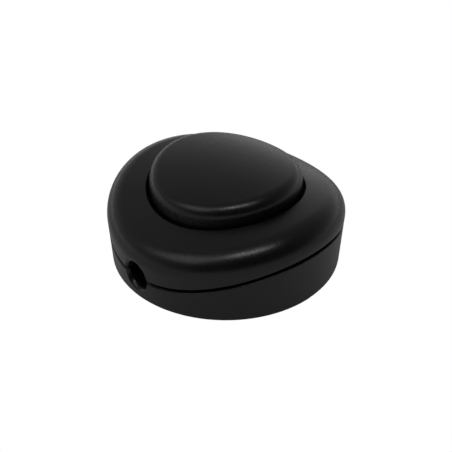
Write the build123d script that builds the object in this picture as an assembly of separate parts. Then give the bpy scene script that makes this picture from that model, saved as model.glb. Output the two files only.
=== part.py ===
from build123d import *
import os
from math import asin, cos, degrees, radians, sin, sqrt, tan

# In-line foot switch for a round flexible cord. Millimetres, +Z up, the cord runs along X,
# and the origin is on the floor at the middle of the housing.

# Housing form
BODY_RADIUS = 34.25
WALL_DRAFT = 2.15  # degrees, the wall widens upwards
WALL = 2.6
FLOOR = 2.2
BASE_EDGE = 0.5
SEAM_HEIGHT = 15.87  # top of the arched seam above the base's bottom edge
SEAM_ARCH = 70.6
SEAM_GAP = 1.2
SEAM_EDGE = 0.25
LIP_WIDTH = 0.9
LIP_HEIGHT = 1.5
COVER_HEIGHT = 24.17
COVER_ARCH = 82.2
COVER_CROSS = 1060.0
COVER_RIM = 6.3
SHOULDER_WIDTH = 11.35
OPENING_EDGE = 0.4
COLLAR_WALL = 1.6

# Button
BUTTON_HEIGHT = 30.2
BUTTON_ARCH = 59.5
BUTTON_CROSS = 202.0
BUTTON_EDGE = 3.5
BUTTON_GAP = 0.6
BUTTON_DRAFT = 2.0
BUTTON_WALL = 2.0
BUTTON_RIBS = 8
RIB_WALL = 1.2
FLANGE_LAP = 1.5
FLANGE_WALL = 1.6
TRAVEL = 4.0

# Cord entries and cord clamps
CORD_BORE = 4.0
CORD_FLARE = 1.7
THROAT_WALL = 1.6
CLAMP_INSET = 7.0
CLAMP_SPAN = 14.4
CLAMP_WIDTH = 4.4
CLAMP_STRAP = 1.6
SADDLE_GRIP = 0.35  # the saddle and strap reach this far inside the entry's bore

# Fasteners: head radius, head height, shank radius, length under the head
COVER_SCREW = (2.75, 2.0, 1.5, 14.0)
SMALL_SCREW = (2.2, 1.6, 1.2, 6.0)
SCREW_WALL = 1.2
COVER_SCREW_INSET = 5.85
HEAD_RECESS = 5.0
PILLAR_HEIGHT = 9.0

# Rubber feet
FOOT_RADIUS = 4.0
FOOT_STAND = 0.6
FOOT_RECESS = 0.8
FOOT_INSET = 7.25

# Ratchet wheel with its teeth, detent octagon and contact cam side by side on one axle
TEETH = 8
TOOTH_DEPTH = 1.8
TOOTH_WIDTH = 2.6
DETENT_REACH = 4.4
DETENT_WIDTH = 2.4
CAM_REACH = 4.2
CAM_ROUND = 1.6
CAM_WIDTH = 3.4
AXLE_RADIUS = 1.0

# Strips and contacts
LEAF_THICKNESS = 0.4
LEAF_WIDTH = 2.8
STRIP_THICKNESS = 0.7
STRIP_PAD = 0.5
TIP_RADIUS = 1.2
TIP_HEIGHT = 0.65
TIP_SHANK = 0.6
TIP_OFFSET = 4.2
SLOT_DEPTH = 1.6
PAWL_THICKNESS = 0.5
PAWL_WIDTH = 2.2
PAWL_TOE = 0.75
DETENT_THICKNESS = 0.4
DETENT_SPRING_WIDTH = 2.0

# Terminals
TERMINAL_LENGTH = 8.0
TERMINAL_WIDTH = 7.0
TERMINAL_HEIGHT = 6.6
TERMINAL_OFFSET = 17.5
LINK_LENGTH = 18.0
LINK_WIDTH = 5.6
LINK_OFFSET = 17.2
LINK_SCREW_OFFSET = 5.5
WIRE_HOLE = 1.5
CRADLE_WALL = 1.2
CRADLE_HEIGHT = 1.5

# Mechanism frame, plunger and return spring
FRAME_TOP = 2.0
FRAME_WALL = 1.8
EAR_RADIUS = 2.7
EAR_THICKNESS = 2.2
EAR_POST = 2.0
SEAT_WALL = 1.6
PRONG = 2.0
CROWN_HEIGHT = 2.4
SPIGOT_RADIUS = 3.5
SPRING_WIRE = 1.2
SPRING_TURNS = 4.5

# Clearances
FIT = 0.03  # pressed or screwed together
SLIDE = 0.15  # pieces that slide or drop into place
RUN = 0.06  # wheel on its axle
CLEAR = 0.3  # moving pieces that pass each other
CONTACT_REST = 0.12

STAND = (Align.CENTER, Align.CENTER, Align.MIN)
SIDES = (-1, 1)

# Heights and places that follow from the sizes above
STEP_ANGLE = 360 / TEETH
TOOTH_TIP = TRAVEL / (2 * sin(radians(STEP_ANGLE / 2)))
CAM_FLAT = (CAM_REACH - CAM_ROUND) * cos(radians(45)) + CAM_ROUND
CAM_LIFT = CAM_REACH - CAM_FLAT
BASE_Z = FOOT_STAND
FLOOR_Z = BASE_Z + FLOOR
SEAM_Z = BASE_Z + SEAM_HEIGHT
COVER_Z = BASE_Z + COVER_HEIGHT
BUTTON_Z = BASE_Z + BUTTON_HEIGHT
PILLAR_Z = BASE_Z + PILLAR_HEIGHT
OPENING_RADIUS = BODY_RADIUS - SHOULDER_WIDTH
BUTTON_RADIUS = OPENING_RADIUS - BUTTON_GAP
FLANGE_RADIUS = OPENING_RADIUS + FLANGE_LAP
CLAMP_OFFSET = BODY_RADIUS - CLAMP_INSET
COVER_SCREW_OFFSET = BODY_RADIUS - COVER_SCREW_INSET
FOOT_OFFSET = BODY_RADIUS - FOOT_INSET

# The contact stack from the floor up to the axle
STRIP_Z = FLOOR_Z + STRIP_PAD
PIVOT_X = -TERMINAL_OFFSET + TERMINAL_LENGTH / 2 - SLOT_DEPTH / 2
LEAF_ANGLE = degrees(asin(CAM_LIFT / -PIVOT_X))
TIP_DROP = (TIP_OFFSET - PIVOT_X) * sin(radians(LEAF_ANGLE))
LEAF_Z = STRIP_Z + STRIP_THICKNESS + 2 * TIP_HEIGHT + CONTACT_REST + TIP_DROP
AXLE_Z = LEAF_Z + LEAF_THICKNESS + CLEAR + CAM_FLAT

# Across the wheel, along Y
WHEEL_WIDTH = TOOTH_WIDTH + DETENT_WIDTH + CAM_WIDTH
TOOTH_Y = -WHEEL_WIDTH / 2 + TOOTH_WIDTH / 2
DETENT_Y = -WHEEL_WIDTH / 2 + TOOTH_WIDTH + DETENT_WIDTH / 2
CAM_Y = WHEEL_WIDTH / 2 - CAM_WIDTH / 2
SLOT_HALF = WHEEL_WIDTH / 2 + CLEAR

# Outwards from the axle, along X
PAWL_X = TOOTH_TIP + CLEAR
PRONG_X = PAWL_X + PAWL_THICKNESS
PRONG_END = PRONG_X + PRONG
DETENT_X = -DETENT_REACH - CONTACT_REST - DETENT_THICKNESS / 2
FRAME_RADIUS = sqrt((PRONG_END + SLIDE) ** 2 + SLOT_HALF**2) + 0.4
SPRING_RADIUS = FRAME_RADIUS + SLIDE + SPRING_WIRE / 2
SEAT_RADIUS = SPRING_RADIUS + SPRING_WIRE / 2 + SLIDE
EAR_OFFSET = FRAME_RADIUS + CLEAR + EAR_RADIUS

# Up the mechanism
WHEEL_TOP = AXLE_Z + TOOTH_TIP
FRAME_Z = WHEEL_TOP + CLEAR
FRAME_TOP_Z = FRAME_Z + FRAME_TOP
SEAT_Z = AXLE_Z + AXLE_RADIUS + SEAT_WALL + CLEAR
CROWN_Z = FRAME_TOP_Z + TRAVEL + CLEAR
TOE_Z = AXLE_Z + TRAVEL / 2 + CLEAR
PRONG_Z = TOE_Z - CLEAR


def arch_z(apex, radius, x):
    """Height of an arch at a distance x along the cord axis."""
    return apex - radius + sqrt(radius**2 - x**2)


def wall_radius(z):
    """Outer radius of the drafted wall at height z."""
    return BODY_RADIUS + (z - BASE_Z) * tan(radians(WALL_DRAFT))


CORD_Z = arch_z(SEAM_Z, SEAM_ARCH, BODY_RADIUS)
CORD_MOUTH = wall_radius(CORD_Z)
THROAT_LENGTH = CORD_MOUTH - CLAMP_OFFSET - CLAMP_WIDTH / 2 - CLEAR
FLANGE_Z = arch_z(COVER_Z, COVER_ARCH, FLANGE_RADIUS) - WALL - 3 * CLEAR
SPRING_TOP = arch_z(BUTTON_Z, BUTTON_ARCH, SEAT_RADIUS) - BUTTON_WALL - 2 * CLEAR


def disc(radius, z0, z1, x=0.0, y=0.0):
    """Upright cylinder between two heights."""
    return Pos(x, y, z0) * Cylinder(radius, z1 - z0, align=STAND)


def block(x0, x1, y0, y1, z0, z1):
    """Straight block between three pairs of planes, those along X in either order."""
    return Pos((x0 + x1) / 2, (y0 + y1) / 2, (z0 + z1) / 2) * Box(abs(x1 - x0), y1 - y0, z1 - z0)


def rod_x(radius, x0, x1, y, z):
    """Round rod along the cord axis, its ends in either order."""
    return Pos((x0 + x1) / 2, y, z) * Rot(0, 90, 0) * Cylinder(radius, abs(x1 - x0))


def rod_y(radius, y0, y1, x, z):
    """Round rod across the cord axis."""
    return Pos(x, (y0 + y1) / 2, z) * Rot(90, 0, 0) * Cylinder(radius, y1 - y0)


def drafted(inset, z0, z1):
    """Solid inside the drafted wall, moved in by inset."""
    low = wall_radius(z0) - inset
    high = wall_radius(z1) - inset
    return Pos(0, 0, z0) * Cone(low, high, z1 - z0, align=STAND)


def under_arch(apex, radius):
    """Solid below an arch that falls towards both cord entries."""
    return Pos(0, 0, apex - radius) * Rot(90, 0, 0) * Cylinder(radius, 4 * BODY_RADIUS)


def under_dome(apex, arch, cross, reach):
    """Solid below a crowned arch, out to reach: the arch runs along X and turns about a spine across it."""
    edge_z = arch_z(apex, arch, reach)
    outline = Polyline((reach, edge_z), (reach, -reach), (-reach, -reach), (-reach, edge_z))
    outline += ThreePointArc((-reach, edge_z), (0, apex), (reach, edge_z))
    spine = Axis((0, 0, apex - cross), (1, 0, 0))
    half_turn = degrees(asin(reach / cross)) * 1.2
    return revolve(Plane.XZ * make_face(outline), spine, 2 * half_turn).rotate(spine, -half_turn)


def top_face(solid):
    """Highest face of a solid."""
    return solid.faces().sort_by(Axis.Z)[-1]


def housing_form(inset):
    """The closed housing, moved in by inset, with its soft rim."""
    dome = under_dome(COVER_Z - inset, COVER_ARCH - inset, COVER_CROSS - inset, BODY_RADIUS * 1.2)
    form = drafted(inset, BASE_Z, BUTTON_Z) & dome
    return fillet(top_face(form).edges(), COVER_RIM - inset)


def cord_way(side):
    """Cutter for the flared round cord entry on one side."""
    start = CORD_MOUTH - THROAT_LENGTH - 1
    bend = CORD_FLARE * sin(radians(45))
    bell = CORD_MOUTH - CORD_FLARE
    wide = CORD_BORE + CORD_FLARE
    outline = Polyline(
        (CORD_MOUTH, wide),
        (CORD_MOUTH + WALL, wide),
        (CORD_MOUTH + WALL, 0),
        (start, 0),
        (start, CORD_BORE),
        (bell, CORD_BORE),
    )
    outline += ThreePointArc((bell, CORD_BORE), (bell + bend, wide - bend), (CORD_MOUTH, wide))
    section = Plane.XZ * make_face(outline)
    cutter = Pos(0, 0, CORD_Z) * revolve(section, Axis.X, 360)
    return cutter if side > 0 else Rot(0, 0, 180) * cutter


def screw(size):
    """Pan-head screw with a cross recess, seated at the origin with its shank downwards."""
    head_radius, head_height, shank_radius, length = size
    head = fillet(top_face(disc(head_radius, 0, head_height)).edges(), head_height / 2)
    shank = chamfer(disc(shank_radius, -length, 0).faces().sort_by(Axis.Z)[0].edges(), shank_radius / 3)
    body = head + shank
    arm = head_radius * 0.6
    for turn in (0, 90):
        body -= Rot(0, 0, turn) * block(-arm, arm, -arm / 5, arm / 5, head_height / 2, head_height)
    return body


def clamp_posts(side):
    """Centres of the two cord-clamp posts on one side."""
    return [(side * CLAMP_OFFSET, across * CLAMP_SPAN / 2) for across in SIDES]


def cover_screw_places():
    """Centres of the screws that hold the cover."""
    return [(0.0, side * COVER_SCREW_OFFSET) for side in SIDES]


def ear_places():
    """Centres of the mechanism frame's two screw ears."""
    reach = EAR_OFFSET * cos(radians(45))
    return [(side * reach, side * reach) for side in SIDES]


def foot_places():
    """Name and centre of each rubber foot."""
    reach = FOOT_OFFSET * cos(radians(45))
    names = {(-1, -1): "front_left", (1, -1): "front_right", (-1, 1): "rear_left", (1, 1): "rear_right"}
    return [(names[sx, sy], sx * reach, sy * reach) for sx, sy in names]


def terminal_places():
    """Centre, length and width of each terminal block."""
    live = [(side * TERMINAL_OFFSET, CAM_Y, TERMINAL_LENGTH, TERMINAL_WIDTH) for side in SIDES]
    links = [(0.0, side * LINK_OFFSET, LINK_LENGTH, LINK_WIDTH) for side in SIDES]
    return live + links


def cradle(x, y, length, width):
    """Low wall on the floor that holds one terminal block."""
    half_x = length / 2 + SLIDE
    half_y = width / 2 + SLIDE
    outer = block(
        x - half_x - CRADLE_WALL,
        x + half_x + CRADLE_WALL,
        y - half_y - CRADLE_WALL,
        y + half_y + CRADLE_WALL,
        FLOOR_Z - FLOOR / 2,
        FLOOR_Z + CRADLE_HEIGHT,
    )
    return outer - block(x - half_x, x + half_x, y - half_y, y + half_y, FLOOR_Z, FLOOR_Z + CRADLE_HEIGHT)


def fixed_strip(gap):
    """The fixed contact's strip, grown by gap on every side."""
    end = TERMINAL_OFFSET - TERMINAL_LENGTH / 2 + SLOT_DEPTH
    half = LEAF_WIDTH / 2 + gap
    start = TIP_OFFSET - 1.5 * TIP_RADIUS - gap
    return block(start, end + gap, CAM_Y - half, CAM_Y + half, STRIP_Z - gap, STRIP_Z + STRIP_THICKNESS + gap)


def detent_strip(gap):
    """The detent spring's upright strip, grown by gap on every side."""
    half_x = DETENT_THICKNESS / 2 + gap
    half_y = DETENT_SPRING_WIDTH / 2 + gap
    top = FRAME_Z + FRAME_TOP / 2 + gap
    return block(DETENT_X - half_x, DETENT_X + half_x, DETENT_Y - half_y, DETENT_Y + half_y, FLOOR_Z, top)


def make_base_shell():
    """Lower shell with its lip, pillars, cord saddles and terminal cradles."""
    wall = drafted(0, BASE_Z, BUTTON_Z) & under_arch(SEAM_Z - SEAM_GAP / 2, SEAM_ARCH)
    wall = fillet(top_face(wall).edges(), SEAM_EDGE)
    wall = fillet(wall.faces().sort_by(Axis.Z)[0].edges(), BASE_EDGE)
    lip = drafted(WALL - LIP_WIDTH, FLOOR_Z, BUTTON_Z) & under_arch(SEAM_Z + LIP_HEIGHT, SEAM_ARCH)
    shell = wall + lip - drafted(WALL, FLOOR_Z, BUTTON_Z)
    inside = drafted(WALL / 2, BASE_Z + FLOOR / 2, BUTTON_Z)
    under = BASE_Z + FLOOR / 2

    head_radius, head_height, shank_radius, _ = COVER_SCREW
    for x, y in cover_screw_places():
        shell += disc(head_radius + SLIDE + SCREW_WALL, under, PILLAR_Z, x, y) & inside
        shell -= disc(head_radius + SLIDE, BASE_Z, BASE_Z + HEAD_RECESS, x, y)
        shell -= disc(shank_radius + SLIDE, BASE_Z, PILLAR_Z, x, y)

    pilot = SMALL_SCREW[2] + FIT
    post = pilot + SCREW_WALL
    throat = CORD_BORE + THROAT_WALL
    for side in SIDES:
        inner = side * (CORD_MOUTH - THROAT_LENGTH)
        shell += block(inner, side * CORD_MOUTH, -throat, throat, under, CORD_Z) & inside
        shell -= cord_way(side)
        rib = block(
            side * CLAMP_OFFSET - CLAMP_WIDTH / 4,
            side * CLAMP_OFFSET + CLAMP_WIDTH / 4,
            -CLAMP_SPAN / 2,
            CLAMP_SPAN / 2,
            under,
            CORD_Z,
        )
        reach = CLAMP_OFFSET + CLAMP_WIDTH
        shell += rib - rod_x(CORD_BORE - SADDLE_GRIP, -reach, reach, 0, CORD_Z)
        for x, y in clamp_posts(side):
            shell += disc(post, under, CORD_Z + CLAMP_STRAP, x, y)
            shell -= disc(pilot, FLOOR_Z, CORD_Z + CLAMP_STRAP, x, y)

    for x, y, length, width in terminal_places():
        shell += cradle(x, y, length, width)
    strip_half = LEAF_WIDTH / 2
    pad_end = TERMINAL_OFFSET - TERMINAL_LENGTH / 2 - SLIDE - CRADLE_WALL / 2
    pad_start = TIP_OFFSET - TIP_RADIUS
    shell += block(pad_start, pad_end, CAM_Y - strip_half, CAM_Y + strip_half, under, STRIP_Z)
    shell -= fixed_strip(SLIDE) - block(0, BODY_RADIUS, -BODY_RADIUS, BODY_RADIUS, 0, STRIP_Z)

    socket_x = DETENT_THICKNESS / 2 + SCREW_WALL
    socket_y = DETENT_SPRING_WIDTH / 2 + SCREW_WALL / 2
    shell += block(
        DETENT_X - socket_x,
        DETENT_X + socket_x,
        DETENT_Y - socket_y,
        DETENT_Y + socket_y,
        under,
        FLOOR_Z + EAR_POST,
    )
    shell -= detent_strip(FIT)
    for x, y in ear_places():
        shell += disc(EAR_RADIUS, under, FLOOR_Z + EAR_POST, x, y)
        shell -= disc(pilot, FLOOR_Z + EAR_POST + EAR_THICKNESS - SMALL_SCREW[3], FLOOR_Z + EAR_POST, x, y)
    for _, x, y in foot_places():
        shell -= disc(FOOT_RADIUS + SLIDE, BASE_Z, BASE_Z + FOOT_RECESS, x, y)
    return shell


def make_top_cover():
    """Upper shell with its opening, guide collar, screw bosses and half throats."""
    form = housing_form(0) - under_arch(SEAM_Z + SEAM_GAP / 2, SEAM_ARCH)
    form = fillet(form.faces().sort_by(Axis.Z)[0].edges(), SEAM_EDGE)
    form -= disc(OPENING_RADIUS, BASE_Z, BUTTON_Z)
    form = fillet(top_face(form).inner_wires()[0].edges(), OPENING_EDGE)
    shell = form - housing_form(WALL)
    within = housing_form(WALL / 2)

    collar_bottom = FLANGE_Z + SLIDE
    collar = disc(OPENING_RADIUS + COLLAR_WALL, collar_bottom, BUTTON_Z)
    shell += (collar - disc(OPENING_RADIUS, collar_bottom, BUTTON_Z)) & within

    pilot = COVER_SCREW[2] + FIT
    pilot_end = BASE_Z + HEAD_RECESS + COVER_SCREW[3] + CLEAR
    for x, y in cover_screw_places():
        shell += disc(pilot + SCREW_WALL, PILLAR_Z, BUTTON_Z, x, y) & within
        shell -= disc(pilot, PILLAR_Z, pilot_end, x, y)

    seat = under_arch(SEAM_Z + LIP_HEIGHT + SLIDE, SEAM_ARCH)
    rebate = drafted(WALL - LIP_WIDTH - SLIDE, BASE_Z, BUTTON_Z) - drafted(WALL + SLIDE, BASE_Z, BUTTON_Z)
    throat = CORD_BORE + THROAT_WALL
    for side in SIDES:
        tube = rod_x(throat, side * (CORD_MOUTH - THROAT_LENGTH), side * CORD_MOUTH, 0, CORD_Z)
        upper = block(-BODY_RADIUS, BODY_RADIUS, -throat, throat, CORD_Z + SLIDE, CORD_Z + throat)
        shell += tube & upper & drafted(WALL - LIP_WIDTH, BASE_Z, BUTTON_Z)
    shell -= rebate & seat
    for side in SIDES:
        shell -= cord_way(side)
    return shell


def button_form(inset):
    """The domed button, moved in by inset, with its rounded edge."""
    low = BUTTON_RADIUS - inset
    high = low - (BUTTON_Z - FLANGE_Z) * tan(radians(BUTTON_DRAFT))
    skirt = Pos(0, 0, FLANGE_Z) * Cone(low, high, BUTTON_Z - FLANGE_Z, align=STAND)
    dome = under_dome(BUTTON_Z - inset, BUTTON_ARCH - inset, BUTTON_CROSS - inset, BUTTON_RADIUS * 1.1)
    return fillet(top_face(skirt & dome).edges(), BUTTON_EDGE - inset)


def make_foot_button():
    """Domed button: hollow, ribbed, with its retaining flange, spring ring and spigot socket."""
    flange_bottom = FLANGE_Z - FLANGE_WALL
    inner = BUTTON_RADIUS - BUTTON_WALL
    hollow = button_form(BUTTON_WALL)
    shell = button_form(0) + disc(FLANGE_RADIUS, flange_bottom, FLANGE_Z)
    shell -= hollow
    shell -= disc(inner, flange_bottom, FLANGE_Z)
    ring = disc(SEAT_RADIUS, SPRING_TOP, BUTTON_Z) - disc(SPRING_RADIUS - SPRING_WIRE, SPRING_TOP, BUTTON_Z)
    rib_inner = SPRING_RADIUS
    ribs = Part()
    for k in range(BUTTON_RIBS):
        rib = block(rib_inner, BUTTON_RADIUS, -RIB_WALL / 2, RIB_WALL / 2, SPRING_TOP, BUTTON_Z)
        ribs += Rot(0, 0, (k + 0.5) * 360 / BUTTON_RIBS) * rib
    socket = disc(SPIGOT_RADIUS + FIT + BUTTON_WALL, CROWN_Z + CROWN_HEIGHT, BUTTON_Z)
    inside = button_form(BUTTON_WALL / 2)
    shell += (ring + ribs + socket) & inside
    shell -= disc(SPIGOT_RADIUS + FIT, FLANGE_Z, BUTTON_Z - BUTTON_WALL)
    return shell


def make_plunger():
    """Fork that straddles the wheel, with a spigot for the button's socket."""
    half = SLOT_HALF - CLEAR
    crown_top = CROWN_Z + CROWN_HEIGHT
    relief = PRONG / 2
    outline = Polyline(
        (-PRONG_END, crown_top),
        (PRONG_END, crown_top),
        (PRONG_END, PRONG_Z),
        (PRONG_X + relief, PRONG_Z),
        (PRONG_X + relief, TOE_Z + relief),
        (PRONG_X, FRAME_Z - TRAVEL / 2),
        (PRONG_X, CROWN_Z),
        (-PRONG_X, CROWN_Z),
        (-PRONG_X, PRONG_Z),
        (-PRONG_END, PRONG_Z),
        close=True,
    )
    fork = extrude(Plane.XZ * make_face(outline), half, both=True)
    spigot_top = BUTTON_Z - BUTTON_WALL - SLIDE
    spigot = disc(SPIGOT_RADIUS, crown_top - CROWN_HEIGHT / 2, spigot_top)
    spigot = chamfer(top_face(spigot).edges(), 2 * SLIDE)
    slot_half = PAWL_WIDTH / 2 + FIT
    slot = block(PAWL_X - FIT, PRONG_X + FIT, TOOTH_Y - slot_half, TOOTH_Y + slot_half, CROWN_Z, crown_top)
    return fork + spigot - slot


def make_drive_pawl():
    """Bent spring strip whose toe pushes one ratchet tooth down at each press."""
    outline = Polyline(
        (PAWL_X, CROWN_Z + CROWN_HEIGHT),
        (PRONG_X, CROWN_Z + CROWN_HEIGHT),
        (PRONG_X, TOE_Z),
        (TOOTH_TIP - PAWL_TOE, TOE_Z),
        (TOOTH_TIP - PAWL_TOE, TOE_Z + PAWL_THICKNESS),
        (PAWL_X, TOE_Z + PAWL_THICKNESS),
        close=True,
    )
    return Pos(0, TOOTH_Y, 0) * extrude(Plane.XZ * make_face(outline), PAWL_WIDTH / 2, both=True)


def make_return_spring():
    """Coil between the frame's seat and the ring under the button."""
    height = SPRING_TOP - SEAT_Z - SPRING_WIRE - 2 * FIT
    path = Helix(height / SPRING_TURNS, height, SPRING_RADIUS)
    section = Plane(path @ 0, z_dir=path % 0) * Circle(SPRING_WIRE / 2)
    return Pos(0, 0, SEAT_Z + SPRING_WIRE / 2 + FIT) * sweep(section, path, is_frenet=True)


def make_mechanism_frame():
    """Round tower over the wheel: axle cheeks, plunger guide, spring seat and screw ears."""
    tower = disc(FRAME_RADIUS, FLOOR_Z, FRAME_TOP_Z)
    tower = chamfer(top_face(tower).edges(), FRAME_TOP / 4)
    tower += disc(SEAT_RADIUS, SEAT_Z - SEAT_WALL, SEAT_Z)
    ear_z = FLOOR_Z + EAR_POST
    for x, y in ear_places():
        ear = disc(EAR_RADIUS, ear_z, ear_z + EAR_THICKNESS, x, y)
        web = Rot(0, 0, 45) * block(0, EAR_OFFSET, -EAR_RADIUS, EAR_RADIUS, ear_z, ear_z + EAR_THICKNESS)
        tower += ear + (web if x > 0 else Rot(0, 0, 180) * web)
        tower -= disc(SMALL_SCREW[2] + SLIDE, ear_z, ear_z + EAR_THICKNESS, x, y)
    tower -= block(-SEAT_RADIUS, SEAT_RADIUS, -SLOT_HALF, SLOT_HALF, FLOOR_Z, SEAT_Z - SEAT_WALL)
    tower -= block(-PRONG_END - SLIDE, PRONG_END + SLIDE, -SLOT_HALF, SLOT_HALF, FLOOR_Z, FRAME_Z)
    guide = SLOT_HALF - CLEAR + SLIDE
    for side in SIDES:
        inner, outer = side * (PAWL_X - SLIDE), side * (PRONG_END + SLIDE)
        tower -= block(inner, outer, -guide, guide, FRAME_Z, FRAME_TOP_Z)
    tower -= rod_y(AXLE_RADIUS + FIT, -FRAME_RADIUS, FRAME_RADIUS, 0, AXLE_Z)
    return tower - detent_strip(FIT)


def make_ratchet_axle():
    """Steel pin across the frame's cheeks."""
    half = sqrt(FRAME_RADIUS**2 - AXLE_RADIUS**2) - CLEAR
    pin = rod_y(AXLE_RADIUS, -half, half, 0, AXLE_Z)
    ends = pin.faces().filter_by(GeomType.PLANE)
    return chamfer([edge for end in ends for edge in end.edges()], AXLE_RADIUS / 4)


def wheel_slice(section, y, width):
    """Slice of the wheel, centred at y, from a flat section around the axle."""
    return Pos(0, y, AXLE_Z) * extrude(Plane.XZ * section, width / 2, both=True)


def make_ratchet_wheel():
    """Eight ratchet teeth, a detent octagon and a four-lobed contact cam in one moulding."""
    # Each tooth's driven side is radial, and its back slopes down to the next tooth's foot
    outline = []
    for k in reversed(range(TEETH)):
        angle = radians(STEP_ANGLE * (k + 0.5))
        for radius in (TOOTH_TIP - TOOTH_DEPTH, TOOTH_TIP):
            outline.append((radius * cos(angle), radius * sin(angle)))
    teeth = wheel_slice(make_face(Polyline(*outline, close=True)), TOOTH_Y, TOOTH_WIDTH)
    octagon = RegularPolygon(DETENT_REACH, TEETH, rotation=STEP_ANGLE / 2)
    detent = wheel_slice(octagon, DETENT_Y, DETENT_WIDTH)
    square = RectangleRounded(2 * CAM_FLAT, 2 * CAM_FLAT, CAM_ROUND)
    cam = wheel_slice(square, CAM_Y, CAM_WIDTH)
    bore = rod_y(AXLE_RADIUS + RUN, -WHEEL_WIDTH, WHEEL_WIDTH, 0, AXLE_Z)
    return teeth + detent + cam - bore


def make_detent_spring():
    """Upright strip that rests against the octagon."""
    return detent_strip(0)


def contact_tip(upwards):
    """Riveted contact with its head at the origin, facing up or down."""
    head = disc(TIP_RADIUS, 0, TIP_HEIGHT)
    head = fillet(top_face(head).edges(), TIP_HEIGHT / 3)
    tip = head + disc(TIP_SHANK, -STRIP_THICKNESS / 2, TIP_HEIGHT / 2)
    return tip if upwards else Rot(180, 0, 0) * tip


def make_contact_leaf():
    """Springy moving contact, rooted in the inlet terminal and lying under the cam."""
    root = PIVOT_X - SLOT_DEPTH / 2 + SLIDE
    end = TIP_OFFSET + 1.5 * TIP_RADIUS
    half = LEAF_WIDTH / 2
    leaf = block(root, end, CAM_Y - half, CAM_Y + half, LEAF_Z, LEAF_Z + LEAF_THICKNESS)
    corners = leaf.edges().filter_by(Axis.Z).sort_by(Axis.X)[-2:]
    leaf = fillet(corners, half * 0.8)
    return leaf - disc(TIP_SHANK + FIT, LEAF_Z, LEAF_Z + LEAF_THICKNESS, TIP_OFFSET, CAM_Y)


def make_fixed_contact():
    """Rigid strip from the outlet terminal to the spot below the moving contact."""
    strip = fixed_strip(0)
    return strip - disc(TIP_SHANK + FIT, STRIP_Z, STRIP_Z + STRIP_THICKNESS, TIP_OFFSET, CAM_Y)


def terminal_block(length, width, screws):
    """Brass block on the floor with a wire hole along it and clamping-screw holes from above."""
    body = block(-length / 2, length / 2, -width / 2, width / 2, FLOOR_Z, FLOOR_Z + TERMINAL_HEIGHT)
    body = chamfer(body.edges().filter_by(Axis.X).sort_by(Axis.Z)[-2:], width / 8)
    wire_z = FLOOR_Z + CRADLE_HEIGHT + SLIDE + WIRE_HOLE
    for x in screws:
        body -= disc(SMALL_SCREW[2] + FIT, wire_z, FLOOR_Z + TERMINAL_HEIGHT, x, 0)
    return body, wire_z


def make_live_terminal(side):
    """Terminal at one end of the switched path, with a slot for its contact strip."""
    body, wire_z = terminal_block(TERMINAL_LENGTH, TERMINAL_WIDTH, [0])
    body -= rod_x(WIRE_HOLE, -side * SMALL_SCREW[2], side * TERMINAL_LENGTH / 2, 0, wire_z)
    body = Pos(side * TERMINAL_OFFSET, CAM_Y, 0) * body
    if side > 0:
        return body - fixed_strip(FIT)
    half = LEAF_WIDTH / 2 + SLIDE
    face = PIVOT_X + SLOT_DEPTH / 2
    root = PIVOT_X - SLOT_DEPTH / 2
    leaf_top = LEAF_Z + LEAF_THICKNESS
    return body - block(root, face, CAM_Y - half, CAM_Y + half, LEAF_Z - SLIDE, leaf_top + SLIDE)


def make_link(side):
    """Through connection for a conductor that isn't switched."""
    body, wire_z = terminal_block(LINK_LENGTH, LINK_WIDTH, [-LINK_SCREW_OFFSET, LINK_SCREW_OFFSET])
    body -= rod_x(WIRE_HOLE, -LINK_LENGTH / 2, LINK_LENGTH / 2, 0, wire_z)
    return Pos(0, side * LINK_OFFSET, 0) * body


def make_terminal_screws():
    """The six clamping screws of the terminals and links."""
    seat = FLOOR_Z + TERMINAL_HEIGHT
    short = SMALL_SCREW[:3] + (TERMINAL_HEIGHT - CRADLE_HEIGHT - 2 * WIRE_HOLE,)
    places = [(side * TERMINAL_OFFSET, CAM_Y) for side in SIDES]
    places += [(x * LINK_SCREW_OFFSET, side * LINK_OFFSET) for side in SIDES for x in SIDES]
    return Compound(children=[Pos(x, y, seat) * screw(short) for x, y in places])


def make_cord_clamp(side):
    """Bent strap that holds the cord down on its saddle."""
    inner = CORD_BORE - SADDLE_GRIP
    outer = inner + CLAMP_STRAP
    seat = CLAMP_STRAP
    foot = CLAMP_SPAN / 2 + SMALL_SCREW[0] + SCREW_WALL
    section = Circle(outer) + Pos(0, seat + CLAMP_STRAP / 2) * Rectangle(2 * foot, CLAMP_STRAP)
    section -= Circle(inner)
    section -= Pos(0, seat - foot) * Rectangle(2 * foot, 2 * foot)
    strap = extrude(Plane.YZ * section, CLAMP_WIDTH / 2, both=True)
    strap = fillet(strap.edges().filter_by(Axis.Z), CLAMP_WIDTH / 3)
    strap = Pos(side * CLAMP_OFFSET, 0, CORD_Z) * strap
    for x, y in clamp_posts(side):
        strap -= disc(SMALL_SCREW[2] + SLIDE, CORD_Z, CORD_Z + outer, x, y)
    return strap


def make_clamp_screws():
    """The four screws of the two cord clamps."""
    seat = CORD_Z + 2 * CLAMP_STRAP
    places = [place for side in SIDES for place in clamp_posts(side)]
    return Compound(children=[Pos(x, y, seat) * screw(SMALL_SCREW) for x, y in places])


def make_frame_screws():
    """The two screws through the mechanism frame's ears."""
    seat = FLOOR_Z + EAR_POST + EAR_THICKNESS
    return Compound(children=[Pos(x, y, seat) * screw(SMALL_SCREW) for x, y in ear_places()])


def make_cover_screws():
    """The two long screws from below that hold the cover on."""
    seat = BASE_Z + HEAD_RECESS
    upright = Rot(180, 0, 0) * screw(COVER_SCREW)
    return Compound(children=[Pos(x, y, seat) * upright for x, y in cover_screw_places()])


def make_rubber_foot(x, y):
    """Round pad pressed into its recess in the underside."""
    pad = disc(FOOT_RADIUS, 0, BASE_Z + FOOT_RECESS, x, y)
    return fillet(pad.faces().sort_by(Axis.Z)[0].edges(), FOOT_STAND / 2)


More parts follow.
